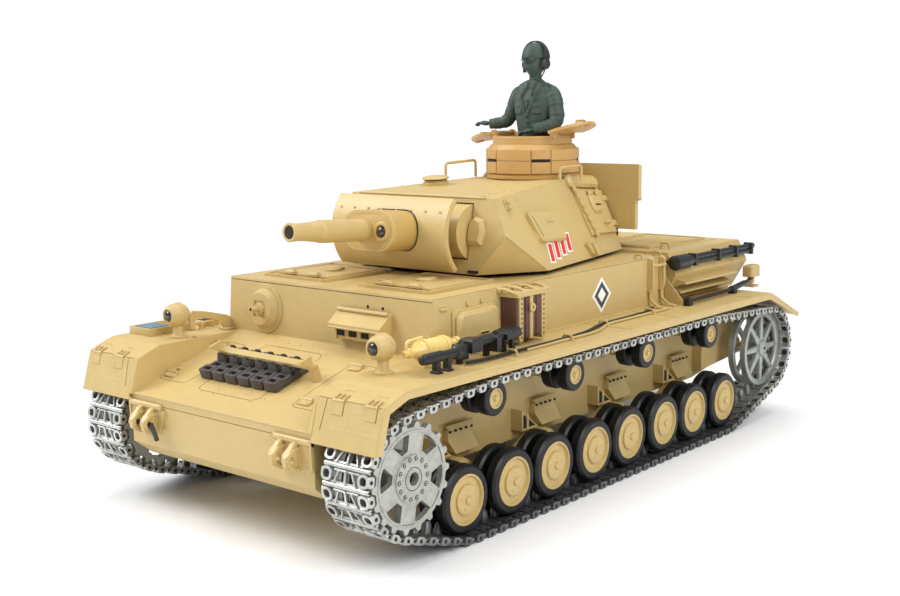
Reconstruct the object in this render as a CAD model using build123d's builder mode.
from build123d import *

import math
import os

# Radio-controlled model of a four-bogie medium tank, about 1:16.
# Millimetres. Ground at z = 0, front towards -Y, +X is the vehicle's left.
# Sizes along y are given from a datum between the second and third bogie; each finished piece
# is then set back by middle_y, so that the origin lies under the middle of the vehicle's length.

os.makedirs("parts", exist_ok=True)

# ------------------------------------------------------------------ driving dimensions
wall = 2.0                    # moulded plastic wall
running_gap = 0.15            # radial clearance of every turning bore
sides = {"left": 1, "right": -1}
middle_y = 22.75              # middle of the whole length, from the tow ears to the rear mudguard edge

# hull
hull_half = 58.0              # half width of the lower tub
belly_z = 25.0
tub_top = 71.8
floor_t = 1.2                 # floor of the upper hull over the fenders
nose_y = -150.0
tail_y = 182.0
body_half = 64.0              # half width of the superstructure
body_front = -88.3
body_rear = 102.0
roof_z = 98.2
deck_z = 99.8
knee_half = 69.3              # widest line of the engine compartment's sides
knee_z = 88.4
glacis_low_z = 54.0
glacis_rise = 19 / 60         # slope of the glacis plate
front_lean = 2 / 25.2         # how far the front plate leans back per mm of height

# fenders
fender_z = 73.0
fender_t = 1.2
fender_half = 92.5
lip_depth = 3.5
fender_front = -135.0
fender_rear = 167.0

# tracks and wheels
track_middle = 76.5           # distance of a track's middle from the vehicle's centre plane
track_width = 25.0
link_count = 100
pin_depth = 1.0               # inner face of a link to its pin line
ground_depth = 1.66           # pin line to the link's ground face
horn_height = 5.0
horn_width = 2.4
guide_line = 77.3             # plane of the guide horns, with one disc of each twin wheel on either side
disc_offset = 4.4             # middle of a twin disc from the guide line
disc_width = 5.6
wheel_r = 14.5
wheel_z = 18.0
tyre_depth = 3.7
bogie_first_y = -74.25
bogie_pitch = 62.6
wheel_reach = 16.15           # wheel axle from its bogie's pivot, along the hull
pivot_z = 24.0
bogie_count = 4
roller_r = 7.5
roller_z = 56.8
roller_ys = (-70.6, -12.4, 49.9, 113.8)
sprocket_y, sprocket_z = -127.6, 36.7
sprocket_root_r, sprocket_tip_r, sprocket_teeth = 20.0, 22.1, 18
idler_y, idler_z, idler_r = 178.0, 39.0, 21.3
axle_r = 2.0
pivot_r = 3.0

# turret
ring_y = 25.0                 # turret ring centre
ring_r = 38.0
turret_floor = 100.2
turret_rear = 100.5
roof_break_y, roof_break_z = 55.0, 139.4
trunnion_y, trunnion_z = -21.0, 119.2
gun_lift = 3.5                # elevation of the gun as it stands, degrees
mantlet_r, mantlet_t, mantlet_half = 24.7, 2.6, 36.0
cupola_y, cupola_r = 69.3, 24.0
cupola_base, cupola_top = 139.4, 160.9
hatch_r = 16.0
hatch_hinge_x = 19.5
hatch_z = 162.8
hinge_pin_r = 1.1
hinge_half = 8.8
lug_r = 1.9


def outward(side, y, z, out):
    """Plane across the vehicle: local x runs along the hull, y up, z away from the hull."""
    return Plane(origin=(side * out, y, z), x_dir=(0, side, 0), z_dir=(side, 0, 0))


def write(piece, name):
    """Set a finished piece round the vehicle's middle, label it and write its STEP file."""
    placed = piece.moved(Location((0, -middle_y, 0)))
    placed.label = name
    export_step(placed, f"parts/{name}.step")


def write_group(pieces, name):
    """Write several separate solids as one named node."""
    solids = [solid for piece in pieces for solid in piece.solids()]
    write(Compound(children=solids), name)


# ------------------------------------------------------------------ track
def belt_stretches(circles):
    """Split a closed belt round circles (y, z, r) into stretches of (length, point at distance)."""
    count = len(circles)
    normals = []
    for (y0, z0, r0), (y1, z1, r1) in zip(circles, circles[1:] + circles[:1]):
        reach = math.hypot(y1 - y0, z1 - z0)
        along = ((y1 - y0) / reach, (z1 - z0) / reach)
        part = (r0 - r1) / reach
        rest = math.sqrt(1 - part * part)
        normals.append((along[0] * part - along[1] * rest, along[1] * part + along[0] * rest))
    stretches = []
    for i, (y, z, r) in enumerate(circles):
        start = math.atan2(normals[i - 1][1], normals[i - 1][0])
        end = math.atan2(normals[i][1], normals[i][0])
        sweep = (start - end) % (2 * math.pi)

        def on_arc(s, y=y, z=z, r=r, start=start):
            return y + r * math.cos(start - s / r), z + r * math.sin(start - s / r)

        stretches.append((r * sweep, on_arc))
        nxt = circles[(i + 1) % count]
        p = (y + r * normals[i][0], z + r * normals[i][1])
        q = (nxt[0] + nxt[2] * normals[i][0], nxt[1] + nxt[2] * normals[i][1])
        length = math.dist(p, q)

        def on_run(s, p=p, q=q, length=length):
            return tuple(a + (b - a) * s / length for a, b in zip(p, q))

        stretches.append((length, on_run))
    return stretches


def belt_points(circles, count):
    """Equally spaced points round a belt."""
    stretches = belt_stretches(circles)
    total = sum(length for length, _ in stretches)
    points = []
    for i in range(count):
        s = i * total / count
        for length, point_at in stretches:
            if s <= length:
                points.append(point_at(s))
                break
            s -= length
    return points


# the pin line of the track, clockwise as seen from the vehicle's left
ground_r = wheel_z - ground_depth
run_r = roller_r + 1.3
last_wheel_y = bogie_first_y + (bogie_count - 1) * bogie_pitch + wheel_reach
pin_circles = [
    (bogie_first_y - wheel_reach, wheel_z, ground_r),
    (sprocket_y, sprocket_z, sprocket_tip_r + 1.8),
    (roller_ys[0], roller_z, run_r),
    (roller_ys[-1], roller_z, run_r),
    (idler_y, idler_z, idler_r + 1.6),
    (last_wheel_y, wheel_z, ground_r),
]
pins = belt_points(pin_circles, link_count)
link_pitch = math.dist(pins[0], pins[1])

# one link: x along the track from its own pin, z towards the ground face
plate_start, plate_end = -0.4, link_pitch - 1.1
plate_t = 1.8
lug_width = 4.2
for name, side in sides.items():
    with BuildPart() as track_link:
        with BuildSketch(Plane.XY.offset(-pin_depth)):
            with Locations(((plate_start + plate_end) / 2, 0)):
                Rectangle(plate_end - plate_start, track_width)
        extrude(amount=plate_t)
        # grouser bar across the ground face
        with BuildSketch(Plane.XY.offset(plate_t - pin_depth)):
            with Locations((link_pitch / 2, 0)):
                Rectangle(1.6, track_width - 2 * lug_width)
            with Locations(*[(link_pitch / 2 - 0.4, s * (track_width - lug_width) / 2) for s in (-1, 1)]):
                Rectangle(3.6, lug_width)
        extrude(amount=ground_depth + pin_depth - plate_t)
        # guide horn on the inner face
        with BuildSketch(Plane.XZ.offset(side * (guide_line - track_middle) - horn_width / 2)):
            with BuildLine():
                Polyline(
                    (1.2, -pin_depth), (5.2, -pin_depth), (4.4, -pin_depth - horn_height),
                    (2.6, -pin_depth - horn_height), close=True,
                )
            make_face()
        extrude(amount=horn_width)
        # pin knuckle at the leading end
        with BuildSketch(Plane.XZ.offset(-track_width / 2)):
            Circle(0.8)
        extrude(amount=track_width)
    links = []
    for (y0, z0), (y1, z1) in zip(pins, pins[1:] + pins[:1]):
        along = (0, y1 - y0, z1 - z0)
        away = (0, -(z1 - z0), y1 - y0)
        seat = Plane(origin=(side * track_middle, y0, z0), x_dir=along, z_dir=away)
        links.append(seat.location * track_link.part)
    write_group(links, f"track_{name}")

# ------------------------------------------------------------------ road wheels
disc_inner_face = guide_line - disc_offset - disc_width / 2
disc_outer_face = guide_line + disc_offset + disc_width / 2
twin_width = disc_outer_face - disc_inner_face
rim_r = wheel_r - tyre_depth

# z runs outwards from the inner disc's inner face
with BuildPart() as wheel_disc:
    with BuildSketch(Plane.XZ):
        with BuildLine():
            Polyline(
                (axle_r + running_gap, -1), (4.4, -1), (4.4, 1.6), (rim_r - 1.2, 1.6),
                (rim_r - 1.2, 0), (rim_r, 0), (rim_r, disc_width), (rim_r - 1.2, disc_width),
                (rim_r - 1.2, 4.4), (4.4, 4.4), (4.4, twin_width - 4.4),
                (rim_r - 1.2, twin_width - 4.4), (rim_r - 1.2, twin_width - disc_width),
                (rim_r, twin_width - disc_width), (rim_r, twin_width),
                (rim_r - 1.0, twin_width), (rim_r - 1.3, twin_width - 1.0),
                (5.6, twin_width - 0.5), (5.3, twin_width + 0.3),
                (1.6, twin_width + 0.6), (1.4, twin_width + 1.1), (0, twin_width + 1.1),
                (0, twin_width - 0.9), (axle_r + running_gap, twin_width - 0.9), close=True,
            )
        make_face()
    revolve(axis=Axis.Z)

with BuildPart() as wheel_tyre:
    with BuildSketch(Plane.XZ):
        with BuildLine():
            Polyline(
                (rim_r, 0), (wheel_r - 1.0, 0), (wheel_r, 1.0), (wheel_r, disc_width - 1.0),
                (wheel_r - 1.0, disc_width), (rim_r, disc_width), close=True,
            )
        make_face()
    revolve(axis=Axis.Z)

for name, side in sides.items():
    for i in range(bogie_count):
        for j, reach in enumerate((-wheel_reach, wheel_reach)):
            y = bogie_first_y + i * bogie_pitch + reach
            seats = [outward(side, y, wheel_z, disc_inner_face + dx) for dx in (0, twin_width - disc_width)]
            pieces = [seats[0].location * wheel_disc.part]
            pieces += [seat.location * wheel_tyre.part for seat in seats]
            write_group(pieces, f"road_wheel_{name}_{2 * i + j + 1}")

# ------------------------------------------------------------------ bogies
arm_inner = hull_half + 1.0
arm_outer = disc_inner_face - 1.3
arm_width = arm_outer - arm_inner
drop = wheel_z - pivot_z
for name, side in sides.items():
    for i in range(bogie_count):
        seat = outward(side, bogie_first_y + i * bogie_pitch, pivot_z, arm_inner)
        with BuildPart() as bogie:
            with BuildSketch(seat):
                for reach in (-wheel_reach, wheel_reach):
                    with BuildLine():
                        Polyline((reach, drop - 3.6), (reach * 0.2, -5.6), (reach * 0.2, 4.6),
                                 (reach, drop + 3.6), close=True)
                    make_face()
                    with Locations((reach, drop)):
                        Circle(3.8)
                Circle(5.0)
            extrude(amount=arm_width - 2.4)
            # leaf spring pack on the outer face of the rocker
            with BuildSketch(seat.offset(arm_width - 2.4)):
                with Locations((0, -4.6)):
                    Rectangle(24, 1.6)
                with Locations((0, -2.9)):
                    Rectangle(17, 1.4)
                Circle(4.6)
            extrude(amount=2.4)
            with BuildSketch(seat.offset(arm_width - 2.4)):
                with Locations((-wheel_reach, drop), (wheel_reach, drop)):
                    Circle(axle_r)
            extrude(amount=disc_outer_face - arm_outer + 0.8)
            with BuildSketch(seat):
                Circle(pivot_r + running_gap)
            extrude(amount=arm_width, mode=Mode.SUBTRACT)
        write(bogie.part, f"bogie_{name}_{i + 1}")

# ------------------------------------------------------------------ return rollers
roller_rim_r = 4.4
with BuildPart() as roller_disc:
    with BuildSketch(Plane.XZ):
        with BuildLine():
            Polyline(
                (axle_r + running_gap - 0.5, 0), (roller_rim_r, 0), (roller_rim_r, disc_width),
                (2.4, disc_width), (2.4, twin_width - disc_width),
                (roller_rim_r, twin_width - disc_width), (roller_rim_r, twin_width),
                (roller_rim_r - 0.5, twin_width), (roller_rim_r - 0.8, twin_width - 0.6),
                (1.5, twin_width - 0.6), (1.3, twin_width + 0.2), (0, twin_width + 0.2),
                (0, twin_width - 1.6), (axle_r + running_gap - 0.5, twin_width - 1.6), close=True,
            )
        make_face()
    revolve(axis=Axis.Z)

with BuildPart() as roller_tyre:
    with BuildSketch(Plane.XZ):
        with BuildLine():
            Polyline(
                (roller_rim_r, 0), (roller_r - 0.5, 0), (roller_r, 0.5), (roller_r, disc_width - 0.5),
                (roller_r - 0.5, disc_width), (roller_rim_r, disc_width), close=True,
            )
        make_face()
    revolve(axis=Axis.Z)

for name, side in sides.items():
    for i, y in enumerate(roller_ys):
        seats = [outward(side, y, roller_z, disc_inner_face + dx) for dx in (0, twin_width - disc_width)]
        pieces = [seats[0].location * roller_disc.part]
        pieces += [seat.location * roller_tyre.part for seat in seats]
        write_group(pieces, f"return_roller_{name}_{i + 1}")

# ------------------------------------------------------------------ drive sprockets
sprocket_inner, sprocket_outer = 65.2, 88.0
toothed_t = 2.6
shaft_r = 2.5
shaft_end = 46.0
for name, side in sides.items():
    seat = outward(side, sprocket_y, sprocket_z, 0)
    with BuildPart() as sprocket:
        # two toothed discs with six windows each
        for face in (sprocket_inner, sprocket_outer - toothed_t):
            with BuildSketch(seat.offset(face)):
                Circle(sprocket_root_r)
                with PolarLocations(sprocket_root_r - 1.0, sprocket_teeth):
                    Polygon((0, -2.2), (sprocket_tip_r - sprocket_root_r + 0.9, -0.9),
                            (sprocket_tip_r - sprocket_root_r + 0.9, 0.9), (0, 2.2), align=None)
                with PolarLocations(14.2, 6, start_angle=50):
                    Polygon((-3.0, -1.7), (2.6, -4.9), (3.4, -2.6), (3.6, 0), (3.4, 2.6), (2.6, 4.9),
                            (-3.0, 1.7), align=None, mode=Mode.SUBTRACT)
            extrude(amount=toothed_t)
        # raised ring just inside the teeth
        with BuildSketch(seat.offset(sprocket_outer)):
            Circle(18.9)
            Circle(18.1, mode=Mode.SUBTRACT)
        extrude(amount=0.4)
        # drum between the discs and the bolted hub flange
        with BuildSketch(seat.offset(sprocket_inner)):
            Circle(9.6)
        extrude(amount=sprocket_outer - sprocket_inner)
        with BuildSketch(seat.offset(sprocket_outer)):
            Circle(9.4)
            Circle(2.7, mode=Mode.SUBTRACT)
        extrude(amount=0.9)
        with BuildSketch(seat.offset(sprocket_outer + 0.9)):
            with PolarLocations(8.0, 14):
                RegularPolygon(0.8, 6)
        extrude(amount=0.5)
        with BuildSketch(seat.offset(sprocket_outer - 3)):
            Circle(2.7)
        extrude(amount=3, mode=Mode.SUBTRACT)
    with BuildPart() as drive_shaft:
        with BuildSketch(seat.offset(shaft_end)):
            Circle(shaft_r)
        extrude(amount=sprocket_inner - shaft_end)
    write_group([sprocket.part, drive_shaft.part], f"drive_sprocket_{name}")

# ------------------------------------------------------------------ idlers
idler_tube_r = 1.8
idler_planes = (guide_line - 3.6, guide_line + 3.6)
idler_hub_outer = 83.2
for name, side in sides.items():
    seat = outward(side, idler_y, idler_z, 0)
    with BuildPart() as idler:
        with BuildSketch(seat.offset(idler_planes[0] - idler_tube_r)):
            Circle(4.2)
        extrude(amount=idler_hub_outer - idler_planes[0] + idler_tube_r)
        for face in idler_planes:
            with BuildSketch(seat.offset(face - 1.0)):
                Circle(idler_r - idler_tube_r)
                Circle(idler_r - idler_tube_r - 1.4, mode=Mode.SUBTRACT)
                with PolarLocations(10.5, 8):
                    Rectangle(15.0, 2.0)
            extrude(amount=2.0)
            with BuildSketch(seat.offset(face - 1.6)):
                Circle(idler_r)
                Circle(idler_r - 2.6, mode=Mode.SUBTRACT)
            extrude(amount=3.2)
        with BuildSketch(seat.offset(idler_planes[0] - idler_tube_r)):
            Circle(axle_r + running_gap)
        extrude(amount=idler_hub_outer - idler_planes[0] + idler_tube_r - 2.0, mode=Mode.SUBTRACT)
    write(idler.part, f"idler_{name}")

# ------------------------------------------------------------------ lower hull tub
def glacis_z(y):
    """Height of the glacis plate's outer face."""
    return glacis_low_z + (y - nose_y) * glacis_rise


plate_drop = wall * math.hypot(1, glacis_rise)
tub_rim_front = glacis_low_z - plate_drop
tub_rim_y = nose_y + (tub_top - tub_rim_front) / glacis_rise
tub_profile = [
    (nose_y, tub_rim_front), (nose_y, 32), (-141, belly_z), (141, belly_z), (179, 31),
    (183.5, 46), (tail_y, tub_top), (tub_rim_y, tub_top),
]
with BuildPart() as chassis_tub:
    with BuildSketch(Plane.YZ.offset(-hull_half)):
        with BuildLine():
            Polyline(*tub_profile, close=True)
        make_face()
    extrude(amount=2 * hull_half)
    upward = [f for f in chassis_tub.faces() if f.normal_at().Z > 0.5]
    offset(amount=-wall, openings=upward)
    for side in sides.values():
        hull_side = outward(side, 0, 0, hull_half)
        # bogie pivots, roller posts and idler axle
        for i in range(bogie_count):
            with BuildSketch(outward(side, bogie_first_y + i * bogie_pitch, pivot_z, hull_half - wall)):
                Circle(pivot_r)
            extrude(amount=arm_outer - hull_half + wall)
        for y in roller_ys:
            with BuildSketch(outward(side, y, roller_z, hull_half - wall)):
                Circle(3.4)
            extrude(amount=disc_inner_face - 0.6 - hull_half + wall)
            with BuildSketch(outward(side, y, roller_z, disc_inner_face - 0.6)):
                Circle(axle_r - 0.5)
            extrude(amount=twin_width - 1.4)
        with BuildSketch(outward(side, idler_y, idler_z, hull_half - wall)):
            Circle(5.0)
        extrude(amount=66.0 - hull_half + wall)
        with BuildSketch(outward(side, idler_y, idler_z, 66.0)):
            Circle(axle_r)
        extrude(amount=idler_hub_outer - 66.0 - 2.6)
        # final drive housing round the sprocket shaft
        with BuildSketch(outward(side, sprocket_y, sprocket_z, hull_half)):
            Circle(10.5)
        extrude(amount=3.4)
        with BuildSketch(outward(side, sprocket_y, sprocket_z, hull_half + 3.4)):
            Circle(7.2)
        extrude(amount=2.4)
        with BuildSketch(outward(side, sprocket_y, sprocket_z, hull_half - wall)):
            Circle(shaft_r + running_gap)
        extrude(amount=wall + 5.8, mode=Mode.SUBTRACT)
        # ribbed idler adjuster box at the tail
        with BuildSketch(hull_side):
            with BuildLine():
                Polyline(
                    (side * 141, 30), (side * 180, 33), (side * 184.6, 45), (side * 184.6, 52),
                    (side * 162, 58), (side * 141, 57), close=True,
                )
            make_face()
            with Locations((side * idler_y, idler_z)):
                Circle(5.0, mode=Mode.SUBTRACT)
        extrude(amount=6.0)
        # bump stop and spring cover above each bogie
        for i in range(bogie_count):
            middle = bogie_first_y + i * bogie_pitch
            with BuildSketch(outward(side, middle, 0, hull_half)):
                with BuildLine():
                    Polyline((side * -14.4, 29.8), (side * -14.4, 39.6), (side * -1.6, 29.8), close=True)
                make_face()
            extrude(amount=6.4)
            # the gusset's web is set back between its flanges
            with BuildSketch(outward(side, middle, 0, hull_half + 1.2)):
                with BuildLine():
                    Polyline((side * -13.4, 31.0), (side * -13.4, 37.3), (side * -4.8, 31.0), close=True)
                make_face()
            extrude(amount=5.2, mode=Mode.SUBTRACT)
            # spring cover that leans out towards its foot
            with BuildSketch(outward(side, middle, 0, hull_half)):
                with BuildLine():
                    Polyline((side * -1.0, 35.4), (side * 0.4, 39.8), (side * 2.4, 41.2), (side * 12.4, 41.2),
                             (side * 14.4, 39.8), (side * 17.4, 29.8), (side * 1.6, 29.8), close=True)
                make_face()
            extrude(amount=7.0)
            with BuildSketch(Plane.XZ.offset(-middle - 20.0)):
                with BuildLine():
                    Polyline((side * (hull_half + 2.6), 42.0), (side * (hull_half + 8.0), 42.0),
                             (side * (hull_half + 8.0), 29.0), (side * (hull_half + 6.4), 29.0),
                             (side * (hull_half + 2.6), 39.0), close=True)
                make_face()
            extrude(amount=21.8, mode=Mode.SUBTRACT)
    # tow brackets on the nose
    for x, eye_r in ((-45.0, 1.2), (45.0, 1.5)):
        for ear in (-4.0, 4.0):
            with BuildSketch(Plane.YZ.offset(x + ear - 1.1)):
                with BuildLine():
                    Polyline((nose_y, 50.5), (nose_y - 3.2, 49.2), (nose_y - 7.5, 44.5),
                             (nose_y - 7.2, 40.6), (nose_y - 4.0, 38.4), (nose_y, 38.0), close=True)
                make_face()
                with Locations((nose_y - 4.6, 43.0)):
                    Circle(eye_r, mode=Mode.SUBTRACT)
            extrude(amount=2.2)
write(chassis_tub.part, "chassis_tub")

# ------------------------------------------------------------------ tow pin
with BuildPart() as tow_pin:
    with BuildSketch(Plane(origin=(-51.0, nose_y - 4.6, 43.0), x_dir=(0, 1, 0), z_dir=(1, 0, 0))):
        Circle(1.0)
    extrude(amount=13.0)
    with BuildSketch(Plane(origin=(-38.6, nose_y - 4.6, 43.4), x_dir=(0, 1, 0), z_dir=(0.72, -0.2, -0.66))):
        Circle(1.0)
    extrude(amount=8.5)
write(tow_pin.part, "tow_pin")

# ------------------------------------------------------------------ upper hull


louvre_start, louvre_length, louvre_ribs = 106.0, 57.0, 5


def side_x(z):
    """Half width of the engine compartment at a height below its widest line."""
    return 60.2 + (z - fender_z) * (knee_half - 60.2) / (knee_z - fender_z)


def front_y(z):
    """Where the superstructure's front plate stands at a height."""
    return body_front + (z - fender_z) * front_lean


with BuildPart() as upper_hull:
    # superstructure box
    with BuildSketch(Plane.YZ.offset(-body_half)):
        with BuildLine():
            Polyline((body_front, fender_z), (front_y(roof_z), roof_z), (body_rear, roof_z),
                     (body_rear, fender_z), close=True)
        make_face()
    extrude(amount=2 * body_half)
    # engine compartment with outward sloping sides
    with BuildSketch(Plane.XZ.offset(-body_rear)):
        with BuildLine():
            Polyline(
                (-side_x(fender_z), fender_z), (-knee_half, knee_z), (-body_half, deck_z),
                (body_half, deck_z), (knee_half, knee_z), (side_x(fender_z), fender_z), close=True,
            )
        make_face()
    extrude(amount=-(tail_y - body_rear))
    # seat on the tub
    with BuildSketch(Plane.XY.offset(tub_top)):
        with Locations((0, (tail_y + tub_rim_y) / 2)):
            Rectangle(2 * hull_half, tail_y - tub_rim_y)
    extrude(amount=fender_z - tub_top)
    # glacis plate
    with BuildSketch(Plane.YZ.offset(-hull_half)):
        with BuildLine():
            Polyline(
                (nose_y, glacis_low_z), (body_front + 1, glacis_z(body_front + 1)),
                (body_front + 1 + wall, glacis_z(body_front + 1)), (body_front + 1 + wall, tub_top),
                (tub_rim_y, tub_top), (nose_y, tub_rim_front), close=True,
            )
        make_face()
    extrude(amount=2 * hull_half)
    # hollow inside: one room for the superstructure, one for the engine, one through the seat
    with BuildSketch(Plane.XY.offset(fender_z + floor_t)):
        with Locations((0, (body_rear + body_front) / 2 + 1)):
            Rectangle(2 * (body_half - wall), body_rear - body_front - 2 * wall - 2)
    extrude(amount=roof_z - wall - fender_z - floor_t, mode=Mode.SUBTRACT)
    with BuildSketch(Plane.XY.offset(fender_z + floor_t)):
        with Locations((0, (body_rear + tail_y) / 2)):
            Rectangle(2 * 59.0, tail_y - body_rear - 2 * wall)
    extrude(amount=deck_z - wall - fender_z - floor_t, mode=Mode.SUBTRACT)
    with BuildSketch(Plane.XY.offset(tub_top)):
        with Locations((0, (tail_y + body_front) / 2 + 1)):
            Rectangle(2 * (hull_half - wall), tail_y - body_front - 2 * wall - 2)
    extrude(amount=fender_z + floor_t - tub_top, mode=Mode.SUBTRACT)
    # turret ring hole
    with BuildSketch(Plane.XY.offset(roof_z - wall)):
        with Locations((0, ring_y)):
            Circle(ring_r + 0.6)
    extrude(amount=wall, mode=Mode.SUBTRACT)
    # cheeks between glacis and fenders
    for side in sides.values():
        with BuildSketch(Plane.YZ.offset(side * hull_half)):
            with BuildLine():
                Polyline((body_front + 1, fender_z), (fender_front, fender_z), (-147, 68.5), (-151.5, 54),
                         (nose_y, 53.0), (body_front + 1, glacis_z(body_front + 1) - 1), close=True)
            make_face()
        extrude(amount=-side * 1.6)
    # raised hatches over driver and radio operator, and two brake hatches on the glacis
    for x in (-31.5, 31.5):
        with BuildSketch(Plane.XY.offset(roof_z)):
            with Locations((x, -53.0)):
                RectangleRounded(41, 47, 1.5)
        extrude(amount=0.7)
        with BuildSketch(Plane.XY.offset(roof_z + 0.7)):
            with Locations((x, -53.0)):
                RectangleRounded(33, 33, 1.5)
        extrude(amount=0.6)
    # armoured cover over the driver's slit
    with BuildSketch(Plane.YZ.offset(10.4)):
        with BuildLine():
            Polyline((front_y(90) + 0.5, 90.2), (front_y(90) - 1.0, 90.0), (-95.2, 84.6), (-95.2, 82.8),
                     (-91.6, 82.6), (-91.6, 77.6), (front_y(77), 77.2), (front_y(77) + 0.5, 77.2), close=True)
        make_face()
    extrude(amount=31.0)
    # domed vision covers on both sides
    for side in sides.values():
        with BuildSketch(outward(side, -57.6, 85.0, body_half)):
            RectangleRounded(25.0, 14.0, 2.5)
        extrude(amount=3.0, taper=24)
    # two rows of louvres under each engine side, held by triangular ribs
    for side in sides.values():
        for shelf_z in (85.6, 80.6):
            inner_x = side_x(shelf_z) - 0.6
            with BuildSketch(Plane.XZ.offset(-louvre_start)):
                with BuildLine():
                    Polyline(
                        (side * inner_x, shelf_z), (side * (inner_x + 6.0), shelf_z - 1.4),
                        (side * (inner_x + 6.0), shelf_z - 2.6), (side * inner_x, shelf_z - 1.2),
                        close=True,
                    )
                make_face()
            extrude(amount=-louvre_length)
            rib_x = side_x(shelf_z - 4.4) - 0.4
            for i in range(louvre_ribs):
                y = louvre_start + i * (louvre_length - 1.0) / (louvre_ribs - 1)
                with BuildSketch(Plane.XZ.offset(-y)):
                    with BuildLine():
                        Polyline((side * inner_x, shelf_z - 0.6), (side * (inner_x + 5.4), shelf_z - 2.0),
                                 (side * rib_x, shelf_z - 5.0), close=True)
                    make_face()
                extrude(amount=-1.0)
write(upper_hull.part, "upper_hull")

# ------------------------------------------------------------------ fenders
fender_top = [
    (-152.0, 51.0), (-147.0, 68.5), (fender_front, fender_z), (fender_rear, fender_z), (203.0, 57.0),
]
fender_under = [
    (202.4, 55.9), (fender_rear - 0.5, fender_z - fender_t), (fender_front + 0.4, fender_z - fender_t),
    (-146.1, 67.5), (-150.8, 51.0),
]
fender_lip = [
    (-152.0, 51.0), (-147.0, 68.5), (fender_front, fender_z), (fender_rear, fender_z), (203.0, 57.0),
    (202.0, 55.2), (fender_rear - 0.8, fender_z - lip_depth), (fender_front + 1.6, fender_z - lip_depth),
    (-143.8, 65.8), (-148.2, 51.0),
]
fender_parts = []
for side in sides.values():
    with BuildPart() as fender:
        with BuildSketch(Plane.YZ.offset(side * hull_half)):
            with BuildLine():
                Polyline(*fender_top, *fender_under, close=True)
            make_face()
        extrude(amount=side * (fender_half - hull_half))
        with BuildSketch(Plane.YZ.offset(side * fender_half)):
            with BuildLine():
                Polyline(*fender_lip, close=True)
            make_face()
        extrude(amount=-side * 1.2)
    fender_parts.append(fender.part)
write_group(fender_parts, "fenders")

# ------------------------------------------------------------------ hull machine gun
gun_ball_z = 85.0
lean_angle = math.atan(front_lean)
ball_seat = Plane(
    origin=(-39.0, front_y(gun_ball_z), gun_ball_z), x_dir=(1, 0, 0),
    z_dir=(0, -math.cos(lean_angle), math.sin(lean_angle)),
)
with BuildPart() as gun_ball:
    with BuildSketch(ball_seat):
        Circle(10.4)
    extrude(amount=1.2)
    with BuildSketch(ball_seat.offset(1.2)):
        Circle(9.4)
    extrude(amount=2.6, taper=36)
    with BuildSketch(ball_seat.offset(1.0)):
        Rectangle(7.4, 7.4)
    extrude(amount=4, mode=Mode.SUBTRACT)
with BuildPart() as bow_barrel:
    with BuildSketch(ball_seat.offset(1.0)):
        Circle(2.7)
    extrude(amount=2.4, taper=20)
    with BuildSketch(ball_seat.offset(3.4)):
        Circle(1.1)
    extrude(amount=5.6)
    with BuildSketch(ball_seat.offset(7.4)):
        Circle(1.4)
    extrude(amount=1.6)
write_group([gun_ball.part, bow_barrel.part], "hull_machine_gun")

# ------------------------------------------------------------------ headlamps and side box
lamp_x, lamp_y, lamp_z, lamp_r = 64.8, -118.0, 83.7, 5.3
lamp_parts = []
for side in sides.values():
    with BuildPart() as headlamp:
        with BuildSketch(Plane.XY.offset(fender_z)):
            with Locations((side * lamp_x, lamp_y)):
                Circle(4.2)
        extrude(amount=1.2)
        with BuildSketch(Plane.XY.offset(fender_z + 1.2)):
            with Locations((side * lamp_x, lamp_y)):
                Circle(2.6)
        extrude(amount=7.6)
        with BuildSketch(Plane(origin=(side * lamp_x, lamp_y + 4.2, lamp_z), x_dir=(1, 0, 0), z_dir=(0, -1, 0))):
            Circle(lamp_r)
        extrude(amount=8.4)
        with BuildSketch(Plane(origin=(side * lamp_x, lamp_y - 4.2, lamp_z), x_dir=(1, 0, 0), z_dir=(0, -1, 0))):
            Circle(lamp_r)
            Circle(3.1, mode=Mode.SUBTRACT)
        extrude(amount=1.4, taper=25)
    lamp_parts.append(headlamp.part)
    with BuildPart() as lens:
        with BuildSketch(Plane(origin=(side * lamp_x, lamp_y - 4.2, lamp_z), x_dir=(1, 0, 0), z_dir=(0, -1, 0))):
            Circle(2.7)
        extrude(amount=1.6, taper=30)
    lamp_parts.append(lens.part)
write_group(lamp_parts, "headlamps")

box_y, box_length = -31.0, 20.4
with BuildPart() as side_box:
    with BuildSketch(outward(1, box_y, 85.4, body_half)):
        Rectangle(box_length, 19.6)
    extrude(amount=9.0)
    # rack: two straps and the ribbed top
    for y in (box_y - 7.8, box_y + 7.8):
        with BuildSketch(outward(1, y, 85.2, body_half + 9.0)):
            Rectangle(2.6, 21.0)
        extrude(amount=1.0)
    with BuildSketch(Plane.XY.offset(95.2)):
        with Locations((body_half + 4.8, box_y)):
            Rectangle(9.6, box_length + 1.6)
    extrude(amount=1.4)
write(side_box.part, "side_box")

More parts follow.
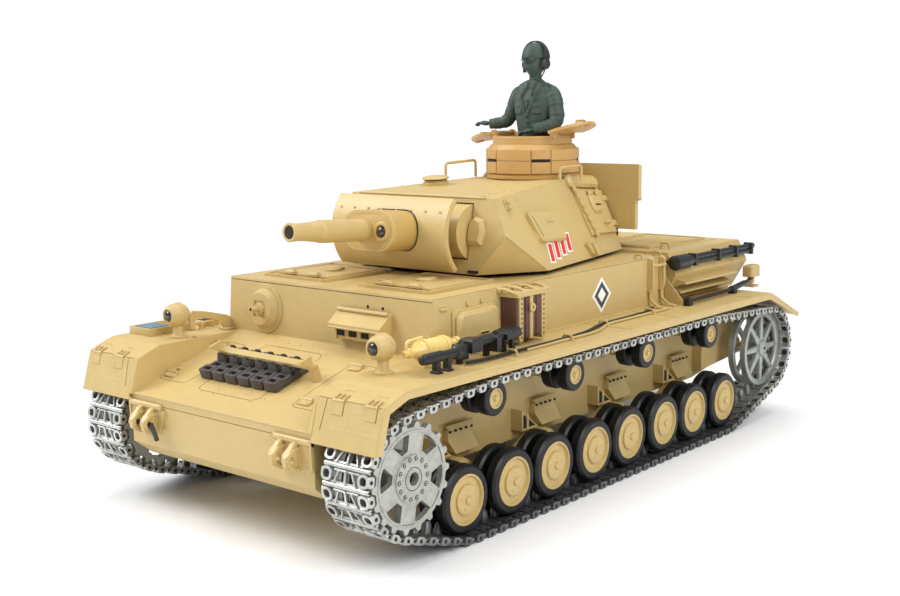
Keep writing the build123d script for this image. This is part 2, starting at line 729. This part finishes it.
# ------------------------------------------------------------------ spare track on the glacis
glacis_angle = math.degrees(math.atan(glacis_rise))
glacis_seat = Plane(
    origin=(0, -118.0, glacis_z(-118.0)), x_dir=(1, 0, 0),
    z_dir=(0, -math.sin(math.radians(glacis_angle)), math.cos(math.radians(glacis_angle))),
)
spare_x, spare_pitch, spare_count = -9.0, 8.4, 6
spare_width, spare_length = 7.6, 25.0
spare_floor, spare_rib = 2.6, 1.6
bar_x, bar_length, bar_t, bar_foot = -4.7, 63.6, 1.2, 2.4
spare_parts = []
for i in range(spare_count):
    with BuildPart() as spare_link:
        x = spare_x + (i - (spare_count - 1) / 2) * spare_pitch
        with BuildSketch(glacis_seat):
            with Locations((x, -1.0)):
                Rectangle(spare_width, spare_length)
        extrude(amount=spare_floor)
        with BuildSketch(glacis_seat.offset(spare_floor)):
            for y in (-11.5, -5.0, 3.0, 10.0):
                with Locations((x, y)):
                    Rectangle(5.0, 2.0)
        extrude(amount=spare_rib)
    spare_parts.append(spare_link.part)
with BuildPart() as spare_bar:
    with BuildSketch(glacis_seat.offset(spare_floor + spare_rib)):
        with Locations((bar_x, 0)):
            Rectangle(bar_length, 3.0)
    extrude(amount=bar_t)
    with BuildSketch(glacis_seat):
        with Locations(*[(bar_x + end * (bar_length - bar_foot) / 2, 0) for end in (-1, 1)]):
            Rectangle(bar_foot, 3.0)
    extrude(amount=spare_floor + spare_rib)
write_group(spare_parts + [spare_bar.part], "spare_track_links")

# ------------------------------------------------------------------ tools and fire extinguisher
with BuildPart() as extinguisher:
    with BuildSketch(Plane(origin=(70.0, -109.0, 79.6), x_dir=(1, 0, 0), z_dir=(0, 1, 0))):
        Circle(1.6)
    extrude(amount=34.0)
    with BuildSketch(Plane(origin=(70.0, -104.0, 79.6), x_dir=(1, 0, 0), z_dir=(0, 1, 0))):
        Circle(3.9)
    extrude(amount=22.0)
    with BuildSketch(Plane.XY.offset(fender_z)):
        with Locations((70.0, -100.0), (70.0, -87.0)):
            Rectangle(3.0, 2.0)
    extrude(amount=5.0)
write(extinguisher.part, "fire_extinguisher")

tool_parts = []
with BuildPart() as crank_tool:
    with BuildSketch(Plane(origin=(81.5, -114.0, 78.6), x_dir=(1, 0, 0), z_dir=(0, 1, 0))):
        Circle(1.7)
    extrude(amount=26.0)
    with BuildSketch(Plane.XY.offset(fender_z)):
        with Locations((81.5, -105.0), (81.5, -98.0)):
            Rectangle(2.6, 2.2)
    extrude(amount=5.0)
tool_parts.append(crank_tool.part)
with BuildPart() as bolt_cutter:
    with BuildSketch(Plane(origin=(75.5, -81.4, 79.0), x_dir=(1, 0, 0), z_dir=(0, 1, 0))):
        Rectangle(6.0, 2.6)
    extrude(amount=40.0)
    with BuildSketch(Plane.XY.offset(fender_z)):
        with Locations((75.5, -72.6), (75.5, -60.0), (75.5, -53.0)):
            Rectangle(5.0, 2.2)
    extrude(amount=5.0)
tool_parts.append(bolt_cutter.part)
# lifting jack along the left engine side
jack_seat = Plane(origin=(70.6, 100.0, 94.4), x_dir=(1, 0, 0), z_dir=(0, 1, 0))
with BuildPart() as jack:
    with BuildSketch(jack_seat):
        Circle(3.4)
    extrude(amount=18.0)
    with BuildSketch(jack_seat.offset(18.0)):
        Circle(1.9)
    extrude(amount=64.0)
tool_parts.append(jack.part)
with BuildPart() as crowbar:
    with BuildSketch(Plane(origin=(76.4, 101.0, 75.0), x_dir=(1, 0, 0), z_dir=(0, 1, 0))):
        Circle(1.0)
    extrude(amount=84.0)
    with BuildSketch(Plane.XY.offset(fender_z)):
        with Locations((76.4, 103.0), (76.4, 150.0)):
            Rectangle(2.8, 4.0)
    extrude(amount=3.6)
tool_parts.append(crowbar.part)
write_group(tool_parts, "pioneer_tools")

# ------------------------------------------------------------------ exhaust silencer across the tail
with BuildPart() as silencer:
    with BuildSketch(Plane(origin=(-36.0, tail_y + 9.6, 56.0), x_dir=(0, 1, 0), z_dir=(1, 0, 0))):
        Circle(7.0)
    extrude(amount=66.0)
    with BuildSketch(Plane(origin=(-26.0, tail_y + 9.6, 56.0), x_dir=(0, 1, 0), z_dir=(1, 0, 0))):
        Circle(7.6)
    extrude(amount=2.4)
    with BuildSketch(Plane(origin=(18.0, tail_y + 9.6, 56.0), x_dir=(0, 1, 0), z_dir=(1, 0, 0))):
        Circle(7.6)
    extrude(amount=2.4)
    with BuildSketch(Plane(origin=(34.0, tail_y + 9.6, 58.0), x_dir=(1, 0, 0), z_dir=(0, 0.2, 1))):
        Circle(2.2)
    extrude(amount=12.0)
    with BuildSketch(Plane.XZ.offset(-tail_y - 2.0)):
        with Locations((-24.8, 56.0), (19.2, 56.0)):
            Rectangle(3.0, 8.0)
    extrude(amount=-4.0)
write(silencer.part, "exhaust_silencer")

# ------------------------------------------------------------------ turret shell
side_normal = (1.0, 0.209, 0.49)
side_reach = 58.7 + side_normal[2] * 99.0
face_lean = 0.194
front_edge_y, front_edge_z = -21.3, 135.2


def plane_through(a, b, c):
    """Plane through three points, with its normal pointing away from the turret's inside."""
    inside = Vector(0, 30, 118)
    normal = (Vector(*b) - Vector(*a)).cross(Vector(*c) - Vector(*a)).normalized()
    if normal.dot(inside - Vector(*a)) > 0:
        normal = -normal
    return Plane(origin=a, z_dir=normal)


def turret_planes(inset):
    """The outer faces of the turret, moved inwards by inset."""
    planes = [
        Plane(origin=(0, front_edge_y, front_edge_z), z_dir=(0, -1, face_lean)),
        Plane(origin=(0, roof_break_y, roof_break_z),
              z_dir=(0, -(roof_break_z - front_edge_z) / (roof_break_y - front_edge_y), 1)),
        Plane(origin=(0, turret_rear, turret_floor), z_dir=(0, 1, 0)),
    ]
    for side in sides.values():
        nx, ny, nz = side_normal
        planes.append(Plane(origin=(side * (side_reach - nz * 99.0), 0, 99.0), z_dir=(side * nx, ny, nz)))
        planes.append(plane_through((side * 54.2, -24.4, 118.8), (side * 39.5, -28.0, turret_floor),
                                    (side * 57.2, 4.6, turret_floor)))
    return [plane.offset(-inset) for plane in planes]


def turret_block(inset, bottom, top):
    """Solid bounded by the turret's faces between two heights."""
    with BuildPart() as block:
        with BuildSketch(Plane.XY.offset(bottom)):
            with Locations((0, 40)):
                Rectangle(180, 180)
        extrude(amount=top - bottom)
        for plane in turret_planes(inset):
            split(bisect_by=plane, keep=Keep.BOTTOM)
    return block.part


drum_r, drum_half = 13.0, 33.0
trunnion_r = 2.5
with BuildPart() as turret_shell:
    add(turret_block(0, turret_floor, roof_break_z))
    add(turret_block(wall, turret_floor + wall, roof_break_z - wall), mode=Mode.SUBTRACT)
    # ring spigot that turns in the hull roof
    with BuildSketch(Plane.XY.offset(roof_z - wall - 1.5)):
        with Locations((0, ring_y)):
            Circle(ring_r)
    extrude(amount=turret_floor - roof_z + wall + 1.5)
    with BuildSketch(Plane.XY.offset(roof_z - wall - 1.5)):
        with Locations((0, ring_y)):
            Circle(ring_r - 3.0)
    extrude(amount=turret_floor - roof_z + 2 * wall + 1.5, mode=Mode.SUBTRACT)
    # opening for the gun drum
    with BuildSketch(Plane.YZ.offset(-drum_half - 0.7)):
        with Locations((trunnion_y, trunnion_z)):
            Circle(drum_r + 0.6)
    extrude(amount=2 * drum_half + 1.4, mode=Mode.SUBTRACT)
    # cheeks that carry the trunnions
    for side in sides.values():
        with BuildSketch(outward(side, trunnion_y, trunnion_z, drum_half + 0.7)):
            with Locations((side * 2.5, 0)):
                Rectangle(9.0, 16.0)
        extrude(amount=3.0)
    with BuildSketch(Plane.YZ.offset(-drum_half - 3.7)):
        with Locations((trunnion_y, trunnion_z)):
            Circle(trunnion_r + running_gap)
    extrude(amount=2 * (drum_half + 3.7), mode=Mode.SUBTRACT)
    # commander's opening under the cupola
    with BuildSketch(Plane.XY.offset(roof_break_z - wall)):
        with Locations((0, cupola_y)):
            Circle(15.5)
    extrude(amount=wall, mode=Mode.SUBTRACT)
    # side doors and vision covers
    for side in sides.values():
        nx, ny, nz = side_normal
        skin = Plane(origin=(side * (side_reach - ny * 80.0 - nz * 121.0), 80.0, 121.0),
                     x_dir=(-side * ny, 1, 0), z_dir=(side * nx, ny, nz))
        with BuildSketch(skin):
            RectangleRounded(29.0, 24.0, 1.0)
        extrude(amount=1.2)
        near = Plane(origin=(side * (side_reach - ny * 17.0 - nz * 119.0), 17.0, 119.0),
                     x_dir=(-side * ny, 1, 0), z_dir=(side * nx, ny, nz))
        with BuildSketch(near):
            RectangleRounded(26.0, 12.0, 2.0)
        extrude(amount=2.2, taper=30)
write(turret_shell.part, "turret_shell")

# ------------------------------------------------------------------ gun
trunnion = Plane(origin=(0, trunnion_y, trunnion_z), x_dir=(0, 1, 0), z_dir=(1, 0, 0))
lift = math.radians(gun_lift)
gun_axis = (0, -math.cos(lift), math.sin(lift))
bore_line = Plane(origin=(0, trunnion_y, trunnion_z), x_dir=(1, 0, 0), z_dir=gun_axis)
sleeve_length = 40.0
sleeve_r = 9.1
shield_low, shield_high = 137.0, 223.0
with BuildPart() as gun_mantlet:
    # curved shield
    with BuildSketch(trunnion.offset(-mantlet_half)):
        with BuildLine():
            CenterArc((0, 0), mantlet_r, shield_low, shield_high - shield_low)
            CenterArc((0, 0), mantlet_r - mantlet_t, shield_low, shield_high - shield_low)
            for angle in (shield_low, shield_high):
                a = math.radians(angle)
                Line(((mantlet_r - mantlet_t) * math.cos(a), (mantlet_r - mantlet_t) * math.sin(a)),
                     (mantlet_r * math.cos(a), mantlet_r * math.sin(a)))
        make_face()
    extrude(amount=2 * mantlet_half)
    # drum and trunnion pins
    with BuildSketch(trunnion.offset(-drum_half)):
        Circle(drum_r)
    extrude(amount=2 * drum_half)
    with BuildSketch(trunnion.offset(-drum_half - 3.4)):
        Circle(trunnion_r)
    extrude(amount=2 * (drum_half + 3.4))
    # sleeve round barrel and second gun
    with BuildSketch(bore_line.offset(10.0)):
        with Locations((3.0, 0)):
            SlotOverall(2 * sleeve_r + 14.0, 2 * sleeve_r)
    extrude(amount=sleeve_length - 10.0)
    # bore for the barrel and pocket for the flash lens
    with BuildSketch(bore_line.offset(16.0)):
        Circle(5.2)
    extrude(amount=sleeve_length - 16.0, mode=Mode.SUBTRACT)
    with BuildSketch(bore_line.offset(sleeve_length - 3.0)):
        with Locations((12.2, 0)):
            Circle(2.7)
    extrude(amount=3.0, mode=Mode.SUBTRACT)
write(gun_mantlet.part, "gun_mantlet")

with BuildPart() as flash_lens:
    with BuildSketch(bore_line.offset(sleeve_length - 3.0)):
        with Locations((12.2, 0)):
            Circle(2.6)
    extrude(amount=3.6)
thick_end, muzzle_end = 68.0, 85.6
with BuildPart() as gun_barrel:
    with BuildSketch(bore_line.offset(16.0)):
        Circle(5.15)
    extrude(amount=thick_end - 16.0)
    with BuildSketch(bore_line.offset(thick_end)):
        Circle(5.15)
    extrude(amount=3.0, taper=23)
    with BuildSketch(bore_line.offset(thick_end + 3.0)):
        Circle(3.85)
    extrude(amount=muzzle_end - thick_end - 3.0)
    with BuildSketch(bore_line.offset(muzzle_end - 14.0)):
        Circle(2.5)
    extrude(amount=14.0, mode=Mode.SUBTRACT)
write_group([gun_barrel.part, flash_lens.part], "gun_barrel")

# ------------------------------------------------------------------ cupola and hatch flaps
with BuildPart() as cupola:
    with BuildSketch(Plane.XZ):
        with BuildLine():
            Polyline(
                (15.5, cupola_base), (cupola_r - 2.5, cupola_base), (cupola_r, cupola_base + 3.5),
                (cupola_r, cupola_top - 6.5), (cupola_r - 1.8, cupola_top - 4.0),
                (cupola_r - 3, cupola_top - 3.6), (cupola_r - 3, cupola_top), (17.2, cupola_top),
                (17.2, cupola_top - 8), (15.5, cupola_top - 9), close=True,
            )
        make_face()
    revolve(axis=Axis.Z)
    # five vision slits between the armour blocks
    with BuildSketch(Plane.XY.offset(cupola_base + 9.0)):
        with PolarLocations(cupola_r, 5, start_angle=-43):
            Rectangle(3.0, 9.6)
    extrude(amount=1.4, mode=Mode.SUBTRACT)
    # lugs that carry the flap hinges
    for side in sides.values():
        for y in (-hinge_half + 0.9, hinge_half - 0.9):
            with BuildSketch(Plane.XZ.offset(-y - 0.8)):
                with Locations((side * hatch_hinge_x, hatch_z)):
                    Circle(lug_r)
                with Locations((side * hatch_hinge_x, (hatch_z + cupola_top) / 2 - 0.5)):
                    Rectangle(2 * lug_r, hatch_z - cupola_top + 1.0)
                with Locations((side * hatch_hinge_x, hatch_z)):
                    Circle(hinge_pin_r + running_gap, mode=Mode.SUBTRACT)
            extrude(amount=1.6)
cupola_seat = Location((0, cupola_y, 0))
write(cupola_seat * cupola.part, "cupola")

flap_t = 1.4
flap_start = 2.2              # flap edge to hinge line
flap_tilts = {"left": 17.0, "right": -14.0}
for name, side in sides.items():
    tilt = math.radians(flap_tilts[name])
    flap_plane = Plane(
        origin=(side * hatch_hinge_x, cupola_y, hatch_z), x_dir=(side * math.cos(tilt), 0, math.sin(tilt)),
        z_dir=(-side * math.sin(tilt), 0, math.cos(tilt)),
    )
    with BuildPart() as flap:
        with BuildSketch(flap_plane.offset(-flap_t / 2)):
            with Locations((flap_start, 0)):
                Circle(hatch_r)
            with Locations((-hatch_r, 0)):
                Rectangle(2 * hatch_r + 2 * flap_start, 3 * hatch_r, mode=Mode.SUBTRACT)
            with Locations((flap_start / 2 + 0.5, 0)):
                Rectangle(flap_start + 1.0, 10.0)
        extrude(amount=flap_t)
        with BuildSketch(flap_plane.offset(flap_t / 2)):
            with Locations((8.6, 0)):
                Rectangle(11.0, 14.0)
        extrude(amount=0.7)
        with BuildSketch(Plane(origin=(side * hatch_hinge_x, cupola_y - hinge_half, hatch_z),
                               x_dir=(1, 0, 0), z_dir=(0, 1, 0))):
            Circle(hinge_pin_r)
        extrude(amount=2 * hinge_half)
    write(flap.part, f"hatch_flap_{name}")

# ------------------------------------------------------------------ commander figure
with BuildPart() as commander:
    with BuildSketch(Plane.XY.offset(cupola_base + 0.4)):
        Ellipse(9.0, 7.0)
    with BuildSketch(Plane.XY.offset(172.0)):
        Ellipse(10.5, 7.5)
    with BuildSketch(Plane.XY.offset(186.0)):
        Ellipse(11.5, 6.5)
    loft(ruled=False)
    with Locations((0, 0, 192.0)):
        Cylinder(4.0, 14.0)
    with Locations((0, 0, 202.6)):
        Sphere(7.6)
    # upper arms hang from the shoulders, forearms reach to the cupola's rim
    for side in sides.values():
        with BuildSketch(Plane(origin=(side * 12.6, -1.0, 184.0), x_dir=(0, 1, 0),
                               z_dir=(side * 0.12, 0.0, -1))):
            Circle(3.7)
        extrude(amount=16.5)
        with Locations((side * 14.6, -1.0, 168.0)):
            Sphere(3.6)
write(Location((1.4, cupola_y, 0)) * commander.part, "commander_figure")

# ------------------------------------------------------------------ stowage bin
bin_half, bin_rear_half, bin_depth = 46.4, 34.6, 20.0
bin_shoulder = 3.0


def bin_outline(inset):
    """Plan of the bin: square at the turret, tapering towards the rear."""
    front, rear = turret_rear + 0.6, turret_rear + bin_depth - inset
    half, rear_half = bin_half - inset, bin_rear_half - inset
    return [(-half, front), (half, front), (half, front + bin_shoulder), (rear_half, rear),
            (-rear_half, rear), (-half, front + bin_shoulder)]


with BuildPart() as bin_body:
    with BuildSketch(Plane.XY.offset(111.0)):
        with BuildLine():
            Polyline(*bin_outline(2.0), close=True)
        make_face()
    extrude(amount=16.0)
    with BuildSketch(Plane.XZ.offset(-turret_rear)):
        with Locations((0, 118.0)):
            Rectangle(30, 8)
    extrude(amount=-1.0)
with BuildPart() as bin_lid:
    with BuildSketch(Plane.XY.offset(127.0)):
        with BuildLine():
            Polyline(*bin_outline(0), close=True)
        make_face()
    extrude(amount=19.0)
    # the lid falls towards the rear
    split(bisect_by=Plane(origin=(0, turret_rear, 146.0), z_dir=(0, 0.22, 1)), keep=Keep.BOTTOM)
write_group([bin_body.part, bin_lid.part], "stowage_bin")

# ------------------------------------------------------------------ inside the hull
drive_parts = []
for side in sides.values():
    with BuildPart() as gearbox:
        with BuildSketch(Plane.XY.offset(belly_z + wall)):
            with Locations((side * 34.0, -121.5)):
                Rectangle(23.0, 34.0)
        extrude(amount=24.0)
        with BuildSketch(Plane(origin=(side * 31.0, -107.0, 39.0), x_dir=(1, 0, 0), z_dir=(0, 1, 0))):
            Circle(9.0)
        extrude(amount=32.0)
    drive_parts.append(gearbox.part)
with BuildPart() as traverse_unit:
    with BuildSketch(Plane.XY.offset(76.0)):
        with Locations((0, -6.0)):
            Rectangle(24.0, 18.0)
    extrude(amount=14.0)
    with BuildSketch(Plane.XY.offset(90.0)):
        with Locations((0, -5.0)):
            Circle(4.6)
    extrude(amount=7.0)
    with BuildSketch(Plane.XY.offset(belly_z + wall)):
        with Locations((-9.0, -6.0), (9.0, -6.0)):
            Rectangle(4.0, 6.0)
    extrude(amount=76.0 - belly_z - wall)
drive_parts.append(traverse_unit.part)
write_group(drive_parts, "drive_units")

with BuildPart() as battery_pack:
    with BuildSketch(Plane.XZ.offset(-6.0)):
        with Locations(*[(x, belly_z + wall + 11.4) for x in (-23.0, 0.0, 23.0)]):
            Circle(11.4)
        with Locations((0, belly_z + wall + 5)):
            Rectangle(46.0, 10.0)
    extrude(amount=-90.0)
write(battery_pack.part, "battery_pack")

with BuildPart() as control_unit:
    with BuildSketch(Plane.XY.offset(belly_z + wall)):
        with Locations((0, -52.0)):
            RectangleRounded(62.0, 40.0, 2.0)
    extrude(amount=16.0)
    with BuildSketch(Plane.XY.offset(belly_z + wall + 16.0)):
        with Locations((-18.0, -52.0)):
            Rectangle(16.0, 24.0)
    extrude(amount=6.0)
with BuildPart() as speaker:
    with BuildSketch(Plane.XY.offset(belly_z + wall)):
        with Locations((0, 117.0)):
            Circle(17.0)
    extrude(amount=10.0)
write_group([control_unit.part, speaker.part], "electronics")
